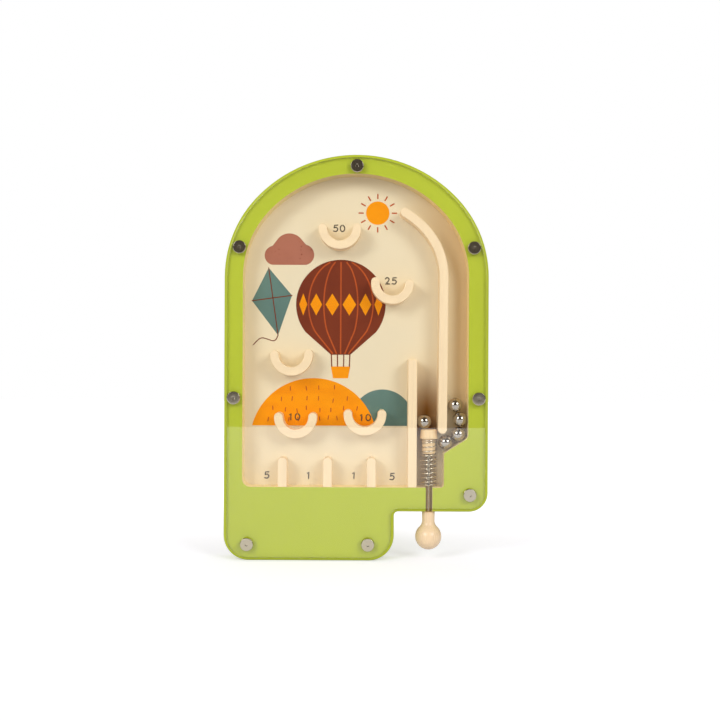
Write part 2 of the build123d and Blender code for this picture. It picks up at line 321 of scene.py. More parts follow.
# %% [markdown]
# The cover mirrors the floor up to a straight line across the game, and the dim room above it.
# A mirror line is geometry: from the camera's height the line's height tells how far in front of
# the game the floor ends. The floor is made with that front edge and reaches far behind the game.
# A floor that is only lit looks grey beside the white. So it glows a little for the camera, more
# towards the back, where it melts into the white, and for mirrors, so that the cover shows it.
# Other rays don't see the glow, so it lights nothing, and the shadows stay.

# %% The floor
mirror_line_z = 0.0952
floor_front = cover_y - camera_distance * mirror_line_z / (camera_z - mirror_line_z)
floor_side = 3.0
floor_behind = 3.0
floor_tone = srgb(231, 232, 245)
fade_start = -0.1
fade_end = 0.6
near_glow = 0.36
mirror_glow = 0.3

floor_mesh = bpy.data.meshes.new("floor")
floor_mesh.from_pydata(
    [
        (-floor_side, floor_front, 0),
        (floor_side, floor_front, 0),
        (floor_side, floor_behind, 0),
        (-floor_side, floor_behind, 0),
    ],
    [],
    [(0, 1, 2, 3)],
)
floor = bpy.data.objects.new("floor", floor_mesh)
bpy.context.scene.collection.objects.link(floor)

ground = Shader("white_floor")
ray = ground.node("LightPath")
behind = ground.axes(ground.place())[1].ramp(fade_start, fade_end)
camera_glow = (near_glow + (1 - near_glow) * behind) * ray.out("Is Camera Ray")
floor_mesh.materials.append(ground.surface(
    base_color=floor_tone,
    roughness=0.9,
    specular_ior_level=0.0,
    emission_color=camera_glow + mirror_glow * mirrored(ray),
    emission_strength=1.0,
))
print("the floor ends", round(-floor_front, 2), "m in front")

# %% [markdown]
# ## Painted board
# The frame is cut from board, sprayed green, and its playing recess is left bare. The mesh could be
# cut in two along the paint's edge, but a mask in the material leaves the solid whole. A point is
# inside the recess where it is nearer the arch's middle than a line halfway through the border, and
# it is bare unless it faces the player. The narrow slot that the plunger's rod runs in is bare too.

# %% Where the wood is bare
border_middle = 0.0875
arch_z = 0.191
sill_z = 0.045
slot_x = (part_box("plunger_rod")[0].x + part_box("plunger_rod")[1].x) / 2
slot_reach = 0.0032
slot_start = 0.0002
slot_top = 0.06
faces_player = -0.7


def reach_of(shader, x, z):
    """How far a point is from the upright middle line, or from the arch's middle above it."""
    up = (z - arch_z).either(0.0)
    return shader.node("VectorMath", {"operation": "LENGTH"}, [
        shader.node("CombineXYZ", inputs=[x, 0.0, up])
    ], output="Value")


def recess_mask(shader):
    """1 on the bare walls of the recess and of the rod's slot, 0 on what is painted."""
    x, y, z = shader.axes(shader.place())
    inside = (reach_of(shader, x, z) < border_middle) * (z > sill_z)
    in_slot = (abs(x - slot_x) < slot_reach) * (y > frame_y + slot_start) * (z < slot_top)
    return inside.either(in_slot) * (1 - (shader.facing()[1] < faces_player))


print("the rod's slot is at", round(slot_x * 1000, 1), "mm")

# %% [markdown]
# Sprayed paint is smooth, with a fine orange peel and places where it lies a little thicker. The
# bare wall is rougher, with fibres that run with its depth. Where it looks down, at the arch's top,
# it is darker by painted shade. A picture could carry all this, but noise needs no seams.
# It hardly leaves the range from 0.3 to 0.7, so a ramp between the two uses it fully.

# %% The paint and the bare wood
noise_range = (0.3, 0.7)
green = srgb(182, 195, 35)
thin_paint = 0.975
thick_paint = 1.02
paint_rough = 0.34
patchy_rough = 0.06
peel_share = 0.5
bare_wood = srgb(255, 233, 171)
fibre_shade = 0.9
wood_rough = 0.64
underside_shade = 0.68
looks_down = (0.72, 1.0)
skin_depth = 0.00003


def sprayed(shader, clouds):
    """Green paint, thicker in places."""
    return shader.blend(clouds.ramp(*noise_range), dim(green, thin_paint), dim(green, thick_paint))


def painted_board(name):
    shader = Shader(name)
    bare = recess_mask(shader)
    clouds = shader.noise((9, 9, 9), detail=2.0)
    fibre = shader.noise((900, 120, 900), detail=2.0)
    spray = shader.noise((1400, 1400, 1400), detail=1.0)
    wood = shader.blend(fibre.ramp(0.3, 0.75), dim(bare_wood, fibre_shade), bare_wood)
    # Painted shade: the bare wall that looks down, at the arch's top, is darkened.
    overhead = (0 - shader.facing()[2]).ramp(*looks_down)
    wood = shader.blend(overhead, wood, dim(bare_wood, underside_shade))
    return shader.surface(
        base_color=shader.blend(bare, sprayed(shader, clouds), wood),
        roughness=paint_rough + (wood_rough - paint_rough) * bare + patchy_rough * clouds,
        normal=shader.bump(spray * (1 - bare) * peel_share + fibre * bare, skin_depth),
    )


def dress(node, material):
    """Give a solid that keeps its own mesh a finish."""
    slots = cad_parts[node].data.materials
    slots.clear()
    slots.append(material)


dress("frame", painted_board("green_paint"))
print("frame painted")

# %% [markdown]
# ## The board behind
# Its front is the printed field, a smooth cream ground, and its edge and back carry the same green
# as the frame. Which is which follows from the way a face looks. The launch lane and the return
# channel are narrow and deep, so their floor lies in shade. Two soft boxes light it too well, so
# that shade is painted into the board's colour. In the lane the painted shade is brown: strongest
# behind the waiting ball, weaker round the spring, and lighter beside the walls. In the channel it
# is tan, and it fades out high in the arch, where the channel opens.

# %% Painted shade in the lane and in the channel
lane_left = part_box("lane_divider")[1].x
lane_right = 0.059
lane_middle = (lane_left + lane_right) / 2
lane_edge = 0.001
half_lane = 0.008
side_light = 0.2
above_ball = (0.105, 0.1456)
below_head = (0.084, 0.096)
spring_share = 0.36
channel_shade_share = 0.46
channel_reach = (0.067, 0.075)
channel_side = (0.03, 0.075)


def painted_lane_shade(shader):
    """Painted shade on the lane's board: most where the ball waits, and less round the spring."""
    x, y, z = shader.axes(shader.place())
    across = x.ramp(lane_left - lane_edge, lane_left + lane_edge)
    across = across * (1 - x.ramp(lane_right - lane_edge, lane_right + lane_edge))
    along = (1 - z.ramp(*above_ball)) * (spring_share + (1 - spring_share) * z.ramp(*below_head))
    return across * along * (1 - side_light * (abs(x - lane_middle) / half_lane))


def painted_channel_shade(shader):
    """Painted shade along the return channel, which fades out high in the arch."""
    x, y, z = shader.axes(shader.place())
    return channel_shade_share * reach_of(shader, x, z).ramp(*channel_reach) * x.ramp(*channel_side)


print("the lane is", round((lane_right - lane_left) * 1000, 1), "mm wide")

# %% Cream ground and green back
cream = srgb(237, 223, 190)
lane_shade_tone = srgb(130, 82, 0)
channel_shade_tone = srgb(191, 143, 55)
front_face = -0.9
cloud_part = 0.6
back_rough = 0.36
print_rough = 0.58
print_depth = 0.00002


def printed_board(name):
    shader = Shader(name)
    front = shader.facing()[1] < front_face
    clouds = shader.noise((14, 14, 14), detail=3.0)
    grain = shader.noise((700, 700, 22), detail=3.0)
    tone = clouds.ramp(*noise_range) * cloud_part + grain * (1 - cloud_part)
    ground = shader.blend(tone, dim(cream, 0.965), dim(cream, 1.01))
    # Painted shade: the lane and the channel are darkened where they lie in shade.
    ground = shader.blend(painted_lane_shade(shader), ground, lane_shade_tone)
    ground = shader.blend(painted_channel_shade(shader), ground, channel_shade_tone)
    return shader.surface(
        base_color=shader.blend(front, sprayed(shader, clouds), ground),
        roughness=back_rough + (print_rough - back_rough) * front,
        specular_ior_level=0.1,
        normal=shader.bump(grain, print_depth),
    )


dress("back_board", printed_board("printed_board"))
print("board printed")

# %% [markdown]
# ## Pale wood
# Rails, cups, the plunger's head and the knob are light hardwood with a fine, straight grain. A
# picture of wood would show where it repeats, so grain is noise pulled long in one direction: many
# bands across a metre, few along it. The same recipe serves every piece. Only the grain's
# direction, the tone and the gloss change: the knob is lacquered and shines most, and the head a
# little less.

# %% A recipe for wood
grain_part = 0.55
grain_rough = 0.12
grain_depth = 0.00004


def pale_wood(name, tone, across=(1500, 1500, 45), gloss=0.42, streak=0.1):
    """Fine straight grain; across says how many bands fit in a metre along X, Y and Z."""
    shader = Shader(name)
    grain = shader.noise(across, detail=4.0, roughness=0.6)
    broad = shader.noise(tuple(count / 7 for count in across), detail=2.0)
    share = grain.ramp(0.32, 0.7) * grain_part + broad.ramp(*noise_range) * (1 - grain_part)
    return shader.surface(
        base_color=shader.blend(share, dim(tone, 1 - streak), dim(tone, 1 + streak / 5)),
        roughness=gloss + grain_rough * grain,
        normal=shader.bump(grain, grain_depth),
    )


rail_tone = srgb(255, 228, 185)
rail_wood = pale_wood("rail_wood", rail_tone)
cup_wood = pale_wood("cup_wood", rail_tone, across=(60, 1500, 1500))
turned_wood = pale_wood("turned_wood", srgb(246, 217, 178), gloss=0.2, streak=0.14)
turned_head = pale_wood("turned_head", srgb(243, 211, 158), gloss=0.36, streak=0.14)
dress("plunger_knob", turned_wood)
dress("plunger_head", turned_head)
print("wood finishes ready")

# %% [markdown]
# ## Reading an outline from a solid
# A rail is a flat shape raised from the board, so its finer version needs the same outline. It
# is read from the solid's own flat face: each edge that only one triangle uses is on the border, and
# following those edges gives closed loops. Nothing is measured twice, so nothing can drift.

# %% Outlines
same_depth = 0.00002
key_step = 1e6


def outline_of(node, depth):
    """Closed loops of (x, z) round the flat face at that depth, with the material on the left."""
    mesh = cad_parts[node].data
    points = {}
    edges = set()
    for face in mesh.polygons:
        corners = [mesh.vertices[index].co for index in face.vertices]
        if any(abs(corner.y - depth) > same_depth for corner in corners):
            continue
        if face.normal.y > 0:
            corners.reverse()
        keys = [(round(c.x * key_step), round(c.z * key_step)) for c in corners]
        points.update({key: (c.x, c.z) for key, c in zip(keys, corners)})
        edges.update(zip(keys, keys[1:] + keys[:1]))
    follow = {a: b for a, b in edges if (b, a) not in edges}
    loops = []
    while follow:
        start, after = follow.popitem()
        loop = [start]
        while after != start:
            loop.append(after)
            after = follow.pop(after)
        loops.append([points[key] for key in loop])
    return sorted(loops, key=len, reverse=True)


print("the cover's outline has", len(outline_of("cover_sheet", cover_y)), "loops")

# %% [markdown]
# ## Raising a rounded slab
# A slab is a stack of rings of the same outline. The rings near the front are drawn in along a
# quarter circle, which is what a sanded edge looks like. Each corner moves along the line that
# halves it, so straight stretches stay straight. Blender's Bevel could round the edges as well, but
# on an arc of many short edges its corners run into each other.

# %% Rings of a slab
round_steps = 4


def drawn_in(loop, inset):
    """The loop moved into the material by inset."""
    moved = []
    for before, here, after in zip(loop[-1:] + loop[:-1], loop, loop[1:] + loop[:1]):
        first = Vector((here[0] - before[0], here[1] - before[1])).normalized()
        second = Vector((after[0] - here[0], after[1] - here[1])).normalized()
        left = Vector((-first.y - second.y, first.x + second.x)) / (1 + first.dot(second))
        moved.append((here[0] + left.x * inset, here[1] + left.y * inset))
    return moved


def edge_profile(back, front, back_round, front_round):
    """How far each ring is drawn in, and its depth, from the back to the front."""
    quarter = [math.pi / 2 * step / round_steps for step in range(round_steps + 1)]
    rings = [(0.0, back)]
    if back_round:
        rings = [(back_round * (1 - math.sin(t)), back - back_round * (1 - math.cos(t))) for t in quarter]
    if not front_round:
        return rings + [(0.0, front)]
    for t in quarter:
        rings.append((front_round * (1 - math.cos(t)), front + front_round * (1 - math.sin(t))))
    return rings


print("edges are rounded in", round_steps, "steps")

# %% [markdown]
# The rings are only points so far. `skin` spans faces from each ring to the next, and the screws and
# the spring will use it too. `add_slab` then fills both ends. A hole in the outline stays a hole,
# because the fill only goes where the rings' edges bound it.

# %% Slabs
def skin(mesh, rings):
    """Join each ring of points to the next one with faces."""
    for low, high in zip(rings, rings[1:]):
        for index in range(len(low)):
            after = (index + 1) % len(low)
            mesh.faces.new((low[index], low[after], high[after], high[index]))


def add_slab(mesh, loops, back, front, back_round=0.0, front_round=0.0):
    """Add a slab with these outlines to a bmesh."""
    ends = []
    for loop in loops:
        rings = []
        for inset, depth in edge_profile(back, front, back_round, front_round):
            ring = drawn_in(loop, inset) if inset else loop
            rings.append([mesh.verts.new((x, depth, z)) for x, z in ring])
        skin(mesh, rings)
        ends.append((rings[0], rings[-1]))
    for side in (0, 1):
        border = []
        for end in ends:
            ring = end[side]
            border += [mesh.edges.get((a, b)) for a, b in zip(ring, ring[1:] + ring[:1])]
        bmesh.ops.triangle_fill(mesh, edges=border, use_beauty=True)


print("slabs can be raised")

# %% [markdown]
# A finished mesh becomes a piece of the game. It is shaded smooth, but a crease sharper than a
# limit stays a crease, and flat faces keep their own normal, so that light doesn't swim over them.
# Then the piece is hung on the body that carries it, and the solids it stands in for are hidden.

# %% From mesh to piece
sharp_angle = math.radians(38)


def place(mesh, name, body, material, replaced=()):
    """Turn a bmesh into a smooth piece that rides on a body."""
    bmesh.ops.recalc_face_normals(mesh, faces=mesh.faces)
    data = bpy.data.meshes.new(name)
    mesh.to_mesh(data)
    mesh.free()
    data.shade_smooth()
    data.set_sharp_from_angle(angle=sharp_angle)
    data.materials.append(material)
    piece = bpy.data.objects.new(name, data)
    flat = piece.modifiers.new("flat_faces_stay_flat", "WEIGHTED_NORMAL")
    flat.weight = 100
    flat.keep_sharp = True
    bpy.context.scene.collection.objects.link(piece)
    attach(piece, body)
    if replaced:
        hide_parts(*replaced)
    return piece


print("creases sharper than", round(math.degrees(sharp_angle)), "degrees stay")

# %% [markdown]
# ## Rails and cups
# The lane's rail, the long curved guide, the pocket dividers and the cups are all sawn from the same
# stock and sanded. They differ only in outline and in the grain's direction, so a loop makes them.

# %% Rails and cups
rail_round = 0.0005
cup_names = [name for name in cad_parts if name.startswith("cup_")]
rail_names = ["lane_divider", "curved_guide"]
rail_names += [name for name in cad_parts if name.startswith("pocket_divider")]
for name in rail_names + cup_names:
    mesh = bmesh.new()
    add_slab(mesh, outline_of(name, board_y), board_y, rail_y, front_round=rail_round)
    wood = cup_wood if name in cup_names else rail_wood
    place(mesh, "sanded_" + name, "cabinet", wood, [name])
print("sanded pieces:", len(rail_names) + len(cup_names))

# %% [markdown]
# ## The clear cover
# The cover is a two millimetre acrylic sheet. Real glass shading bends and mirrors, but lamps reach
# through it badly, so lamp rays and soft light see plain tinted air instead. The cut edges are a
# second, frosted finish that holds most of the light back. It draws the dark line round the rim and
# the soft shade round each screw. The sheet sits a hair in front of the paint: two faces in one
# place would flicker.

# %% Acrylic
cover_gap = 0.00006
cover_round = 0.0002
acrylic_ior = 1.49
clear_tint = (0.985, 0.99, 0.985, 1)
clear_share = 0.975
edge_tint = (0.45, 0.5, 0.3, 1)
edge_rough = 0.45
edge_share = 0.3
facing_share = 0.8


def acrylic(name, tint, rough, light_share):
    """Clear sheet that lets this share of the lamps' light through."""
    shader = Shader(name)
    glass = shader.node("BsdfPrincipled", inputs={
        "Base Color": tint,
        "Roughness": rough,
        "IOR": acrylic_ior,
        "Transmission Weight": 1.0,
    })
    air = shader.node("BsdfTransparent", inputs={"Color": (light_share, light_share, light_share, 1)})
    ray = shader.node("LightPath")
    open_to_light = ray.out("Is Shadow Ray").either(ray.out("Is Diffuse Ray"))
    return shader.finish(shader.node("MixShader", inputs=[open_to_light, glass, air]))


mesh = bmesh.new()
cover_loops = outline_of("cover_sheet", cover_y)
add_slab(mesh, cover_loops, frame_y - cover_gap, cover_y, cover_round, cover_round)
clear = acrylic("clear_acrylic", clear_tint, 0.0, clear_share)
cover = place(mesh, "polished_cover", "cabinet", clear, ["cover_sheet"])
cover.data.materials.append(acrylic("cut_acrylic_edge", edge_tint, edge_rough, edge_share))
for face in cover.data.polygons:
    face.material_index = 0 if abs(face.normal.y) > facing_share else 1
print("cover made with", len(cover_loops) - 1, "holes")

# %% [markdown]
# ## Polished steel
# Steel is a mirror with a tint. What tells one steel part from another is how rough it is and
# which way its scratches run, so one recipe takes both. The balls are nearly perfect, the screw
# heads are duller, and the rod carries fine lines from drawing.

# %% Steel finishes
steel_shade = 0.93
scratch_depth = 0.000004


def steel(name, tone, rough, scratch_scales, scratch=0.05):
    """Bright metal; the scales say how many scratches fit in a metre along X, Y and Z."""
    shader = Shader(name)
    marks = shader.noise(scratch_scales, detail=2.0)
    clouds = shader.noise((300, 300, 300), detail=2.0)
    return shader.surface(
        base_color=shader.blend(clouds, dim(tone, steel_shade), tone),
        metallic=1.0,
        roughness=rough + scratch * marks,
        normal=shader.bump(marks, scratch_depth),
    )


ball_steel = steel("ball_steel", srgb(192, 185, 174), 0.05, (900, 900, 900))
screw_steel = steel("screw_steel", srgb(200, 192, 170), 0.12, (2500, 2500, 2500), 0.1)
rod_steel = steel("rod_steel", srgb(174, 161, 134), 0.2, (3000, 3000, 60), 0.12)
spring_steel = steel("spring_steel", srgb(218, 208, 186), 0.2, (2000, 2000, 2000), 0.06)
brass = steel("insert_brass", srgb(214, 180, 108), 0.25, (1500, 1500, 1500), 0.1)
balls = ["launch_ball"] + [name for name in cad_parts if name.startswith("queue_ball")]
for name in balls:
    dress(name, ball_steel)
dress("plunger_rod", rod_steel)
dress("threaded_inserts", brass)
print("balls:", len(balls))

# %% [markdown]
# ## The screws
# Eight low heads hold the cover. Each is a flat disc with an upright rim, a rounded shoulder and a
# small hexagon socket. Cutting the socket with a Boolean would leave long thin faces that shade
# badly, so the screw is made ring by ring: up the shank, out to the rim, over the shoulder, then to
# a ring that turns from a circle into a hexagon, and down to the socket's flat floor. The cover's
# holes say where the screws go, and each head is turned its own way, as no one lines them up.

# %% Measures of a screw
hole_centres = []
for loop in cover_loops[1:]:
    hole_centres.append((sum(x for x, z in loop) / len(loop), sum(z for x, z in loop) / len(loop)))
screws_low, screws_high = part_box("cover_screws")
head_radius = (screws_high.x - screws_low.x) / 2 - max(abs(x) for x, z in hole_centres)
head_height = cover_y - screws_low.y
head_land = 0.0016
head_flat = 0.0043
head_edge = 0.00022
shoulder_steps = 6
socket_half = 0.001
socket_depth = 0.0012
socket_edge = 0.00008
corner_share = 1.16
shank_radius = 0.0025
tip_radius = 0.0005
tip_depth = cover_y - screws_high.y
ring_points = 48
print("screws:", len(hole_centres), "head radius in mm:", round(head_radius * 1000, 2))

# %% Screws ring by ring
def head_rings():
    """Rings as (height above the cover, radius, 0 for a circle or 1 for a hexagon)."""
    rings = [(tip_depth, tip_radius, 0), (tip_depth, shank_radius, 0), (0.0, shank_radius, 0)]
    rings += [(0.0, head_radius - head_edge, 0), (head_edge, head_radius, 0), (head_land, head_radius, 0)]
    rise = head_height - head_land
    run = head_radius - head_flat
    for step in range(1, shoulder_steps + 1):
        angle = math.pi / 2 * step / shoulder_steps
        rings.append((head_land + rise * math.sin(angle), head_flat + run * math.cos(angle), 0))
    rings.append((head_height, socket_half * corner_share + socket_edge, 0))
    rings.append((head_height - socket_edge, socket_half, 1))
    rings.append((head_height - socket_depth, socket_half, 1))
    return rings


def add_screw(mesh, x, z, turn):
    rows = []
    for height, radius, hexagon in head_rings():
        row = []
        for index in range(ring_points):
            angle = math.tau * index / ring_points
            off = (angle + math.pi / 6) % (math.pi / 3) - math.pi / 6
            reach = radius / math.cos(off) if hexagon else radius
            row.append(mesh.verts.new((
                x + reach * math.cos(angle + turn), cover_y - height, z + reach * math.sin(angle + turn)
            )))
        rows.append(row)
    skin(mesh, rows)
    mesh.faces.new(rows[0][::-1])
    mesh.faces.new(rows[-1])


turns = random.Random(7)
mesh = bmesh.new()
for x, z in hole_centres:
    add_screw(mesh, x, z, turns.uniform(0, math.pi / 3))
place(mesh, "button_screws", "cabinet", screw_steel, ["cover_screws"])
print("rings in a screw:", len(head_rings()))

# %% [markdown]
# ## The spring
# A compression spring is a helix whose first and last turns lie close together. Blender's Screw
# modifier climbs evenly, so the helix is worked out here: the climb per turn is a curve, and adding
# it up step by step gives the height of each point.

# %% How the coil climbs
spring_low, spring_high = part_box("plunger_spring")
wire = 0.00085
coils = 12
closed_turns = 0.9
opening_turns = 0.6
close_pitch = 0.00125
points_per_turn = 32


def climb(turn):
    """How open the coil is at that turn, from 0 to 1."""
    from_end = min(turn, coils - turn)
    share = min(max((from_end - closed_turns) / opening_turns, 0), 1)
    return share * share * (3 - 2 * share)


steps = coils * points_per_turn
open_shares = [climb((index + 0.5) / points_per_turn) for index in range(steps)]
height = spring_high.z - spring_low.z - wire
open_pitch = (height - coils * close_pitch) * points_per_turn / sum(open_shares)
levels = [spring_low.z + wire / 2]
for share in open_shares:
    levels.append(levels[-1] + (close_pitch + share * open_pitch) / points_per_turn)
print("spring:", coils, "turns, open pitch in mm:", round((open_pitch + close_pitch) * 1000, 2))

# %% Wound wire
wire_sides = 10
coil_radius = (spring_high.x - spring_low.x - wire) / 2
coil_x = (spring_high.x + spring_low.x) / 2
coil_y = (spring_high.y + spring_low.y) / 2

mesh = bmesh.new()
rows = []
for index, level in enumerate(levels):
    angle = math.tau * index / points_per_turn
    outward = Vector((math.cos(angle), math.sin(angle), 0))
    centre = Vector((coil_x, coil_y, level)) + outward * coil_radius
    row = []
    for side in range(wire_sides):
        tilt = math.tau * side / wire_sides
        off = outward * math.cos(tilt) + Vector((0, 0, math.sin(tilt)))
        row.append(mesh.verts.new(centre + off * wire / 2))
    rows.append(row)
skin(mesh, rows)
mesh.faces.new(rows[0])
mesh.faces.new(rows[-1][::-1])
spring = place(mesh, "wound_spring", "cabinet", spring_steel, ["plunger_spring"])
print("wire wound round", len(levels), "points")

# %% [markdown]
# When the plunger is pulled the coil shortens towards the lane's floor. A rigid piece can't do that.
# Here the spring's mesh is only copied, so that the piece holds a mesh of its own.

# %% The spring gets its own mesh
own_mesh(spring)

# %% [markdown]
# ## Ink
# The field is printed with flat, warm shapes. They could be masks in the board's own material, but
# a thin film of ink with its own outline stays sharp from close by. The films lie in layers, so that
# later colours lie on earlier ones, as in screen printing. The ink isn't perfectly even: it has soft
# clouds and, on some shapes, small flecks. It hardly shines.

# %% Inks
ink_layer = 0.00004
cloud_edge = (0.42, 0.72)
cloud_share = 0.45
fleck_edge = (0.13, 0.2)


def ink(name, tone, second, flecks=0.0, streaks=(25, 25, 25)):
    """A flat colour with soft clouds of a second one, and small flecks of it where asked."""
    shader = Shader(name)
    clouds = shader.noise(streaks, detail=4.0, roughness=0.6)
    share = clouds.ramp(*cloud_edge) * cloud_share
    if flecks:
        spots = shader.node("TexVoronoi", inputs={
            "Vector": shader.stretch(shader.place(), (flecks, 0, flecks)),
            "Scale": 1.0,
            "Randomness": 0.75,
        }, output="Distance")
        share = share.either(1 - spots.ramp(*fleck_edge))
    return shader.surface(
        base_color=shader.blend(share, tone, second),
        roughness=0.6,
        specular_ior_level=0.08,
    )


brown_ink = ink("brown_ink", srgb(122, 52, 28), srgb(100, 38, 20))
rust_ink = ink("rust_ink", srgb(186, 84, 36), srgb(160, 64, 30))
orange_ink = ink("orange_ink", srgb(250, 156, 4), srgb(232, 124, 0), streaks=(20, 20, 60))
teal_ink = ink("teal_ink", srgb(100, 130, 121), srgb(82, 108, 104))
rose_ink = ink("rose_ink", srgb(176, 112, 90), srgb(128, 66, 54), flecks=330)
grey_ink = ink("grey_ink", srgb(72, 64, 56), srgb(84, 75, 66))
print("a layer of ink is", round(ink_layer * 1000, 3), "mm thick")

# %% [markdown]
# Outlines of the printed shapes are arcs and a few corners. `arc` gives the points of one arc, and
# `smooth_line` bends a line softly through a few points, each stretch leaning on its neighbours.
# Angles run anticlockwise from the right, as seen by the player.

# %% Arcs and soft lines
def arc(x, z, radius, start, end, steps=24):
    """Points on an arc, in millimetres."""
    angles = [math.radians(start + (end - start) * step / steps) for step in range(steps + 1)]
    return [(x + radius * math.cos(a), z + radius * math.sin(a)) for a in angles]


def bend(before, here, there, after, t):
    """A coordinate on the soft curve from here to there, at a share t of the way."""
    return 0.5 * (
        2 * here
        + (there - before) * t
        + (2 * before - 5 * here + 4 * there - after) * t * t
        + (3 * here - before - 3 * there + after) * t ** 3
    )


def smooth_line(points, steps=8):
    """A line that passes through the points in soft bends."""
    ends = [points[0], *points, points[-1]]
    line = []
    for around in zip(ends, ends[1:], ends[2:], ends[3:]):
        for step in range(steps):
            line.append(tuple(bend(*numbers, step / steps) for numbers in zip(*around)))
    return line + [points[-1]]


print("a quarter circle has", len(arc(0, 0, 1, 0, 90)), "points")

# %% [markdown]
# `stroke` turns a line into a band with round ends, which is how a pen draws, and `print_shapes`
# lays any number of outlines on the board in one ink.

# %% Strokes and printing
MM = 0.001


def stroke(points, width):
    """The outline of a pen line with round ends, in millimetres."""
    left = []
    right = []
    for index, here in enumerate(points):
        before = points[max(index - 1, 0)]
        after = points[min(index + 1, len(points) - 1)]
        way = Vector((after[0] - before[0], after[1] - before[1])).normalized()
        side = Vector((-way.y, way.x)) * width / 2
        left.append((here[0] + side.x, here[1] + side.y))
        right.append((here[0] - side.x, here[1] - side.y))

    def cap(centre, start):
        return arc(*centre, width / 2, start + 22.5, start + 157.5, steps=6)

    def heading(a, b):
        return math.degrees(math.atan2(b[1] - a[1], b[0] - a[0]))

    end_cap = cap(points[-1], heading(points[-2], points[-1]) - 90)
    start_cap = cap(points[0], heading(points[0], points[1]) + 90)
    return right + end_cap + left[::-1] + start_cap


def print_shapes(name, shapes, material, layer):
    """Lay shapes in one ink on the board; each shape is a list of loops in millimetres."""
    mesh = bmesh.new()
    for loops in shapes:
        scaled = [[(x * MM, z * MM) for x, z in loop] for loop in loops]
        add_slab(mesh, scaled, board_y, board_y - ink_layer * layer)
    place(mesh, name, "cabinet", material)


print("a short stroke has", len(stroke([(0, 0), (1, 0)], 1.0)), "points")

# %% [markdown]
# ## The picture on the field
# The picture is this lesson's own: a balloon over two hills, with a kite, a cloud and a sun. The
# shapes keep the warm palette and the size of such prints. Places are in millimetres on the board.
# The balloon is a wide arc that closes in a narrow mouth. Its seams follow half its width, which
# makes them bulge as they do on a round thing.

# %% The balloon
balloon_x = -11.5
balloon_z = 183.5
balloon_radius = 32.5
mouth_z = 147.0
mouth_half = 7.0
waist_angle = 38
envelope = arc(balloon_x, balloon_z, balloon_radius, -waist_angle, 180 + waist_angle, steps=64)
envelope += [(balloon_x - mouth_half, mouth_z), (balloon_x + mouth_half, mouth_z)]
print_shapes("print_balloon", [[envelope]], brown_ink, 2)


def half_width(z):
    """Half the balloon's width at a height."""
    waist_z = balloon_z - balloon_radius * math.sin(math.radians(waist_angle))
    if z >= waist_z:
        return math.sqrt(max(balloon_radius ** 2 - (z - balloon_z) ** 2, 0))
    share = (z - mouth_z) / (waist_z - mouth_z)
    return mouth_half + share * (balloon_radius * math.cos(math.radians(waist_angle)) - mouth_half)


seam_steps = 24
seam_low = mouth_z + 1
seam_rise = balloon_z + balloon_radius - 3 - mouth_z
seam_width = 1.0
heights = [seam_low + seam_rise * step / seam_steps for step in range(seam_steps + 1)]
seams = []
for share in (-0.72, -0.38, 0.0, 0.38, 0.72):
    seams.append([stroke([(balloon_x + share * half_width(z), z) for z in heights], seam_width)])
print_shapes("print_seams", seams, rust_ink, 3)
print("balloon printed with", len(seams), "seams")

# %% Lozenges, basket and ropes
lozenge_half_height = 8.0
lozenge_half_width = 4.6
lozenge_least = 0.4
lozenges = []
for share in (-0.84, -0.55, -0.19, 0.19, 0.55, 0.84):
    x = balloon_x + share * half_width(balloon_z)
    wide = lozenge_half_width * math.sqrt(1 - share * share) + lozenge_least
    lozenges.append([[
        (x + wide, balloon_z),
        (x, balloon_z + lozenge_half_height),
        (x - wide, balloon_z),
        (x, balloon_z - lozenge_half_height),
    ]])

basket_top = 138.5
basket_low = 130.0
basket = [(-7.0, basket_top), (-5.4, basket_low), (5.4, basket_low), (7.0, basket_top)]
lozenges.append([[(balloon_x + x, z) for x, z in basket]])
print_shapes("print_lozenges", lozenges, orange_ink, 4)

rope_spread = 1.05
rope_width = 0.8
ropes = []
for x in (-6.4, -2.2, 2.2, 6.4):
    rope = [(balloon_x + x * rope_spread, mouth_z), (balloon_x + x, basket_top)]
    ropes.append([stroke(rope, rope_width)])
print_shapes("print_ropes", ropes, brown_ink, 3)
print("lozenges and basket:", len(lozenges), "ropes:", len(ropes))

# %% [markdown]
# Each hill is one arc, and both end at a height of 95.5, so they share a flat foot. The grass stands
# in rows that grow longer down the slope. Each blade is moved a little at random, so that it looks
# drawn by hand, and the draws start from a fixed number, so that they come out the same each time.

# %% Hills
hill_x = -31.0
hill_z = 84.0
hill_radius = 46.0
near_hill = arc(hill_x, hill_z, hill_radius, 14.5, 165.5, steps=48)
far_hill = arc(19.0, 99.5, 22.5, -10.2, 190.2, steps=40)
print_shapes("print_far_hill", [[far_hill]], teal_ink, 1)
print_shapes("print_near_hill", [[near_hill]], orange_ink, 2)

grass_margin = 6
blade_height = 2.6
blade_width = 0.7
blades = random.Random(3)
grass = []
for row, z in enumerate((121.0, 113.5, 106.0, 99.5)):
    count = 4 + 2 * row
    reach = math.sqrt(hill_radius ** 2 - (z - hill_z) ** 2) - grass_margin
    for index in range(count):
        x = hill_x + reach * (2 * (index + 0.5) / count - 1) + blades.uniform(-1.5, 1.5)
        low = z + blades.uniform(-1.2, 1.2)
        tip = (x + blades.uniform(-0.5, 0.5), low + blade_height)
        grass.append([stroke([(x, low), tip], blade_width)])
print_shapes("print_grass", grass, rust_ink, 3)
print("blades of grass:", len(grass))

# %% [markdown]
# The kite has four corners, two spars and a tail that is one soft line. The cloud is three arcs
# joined over a flat foot.

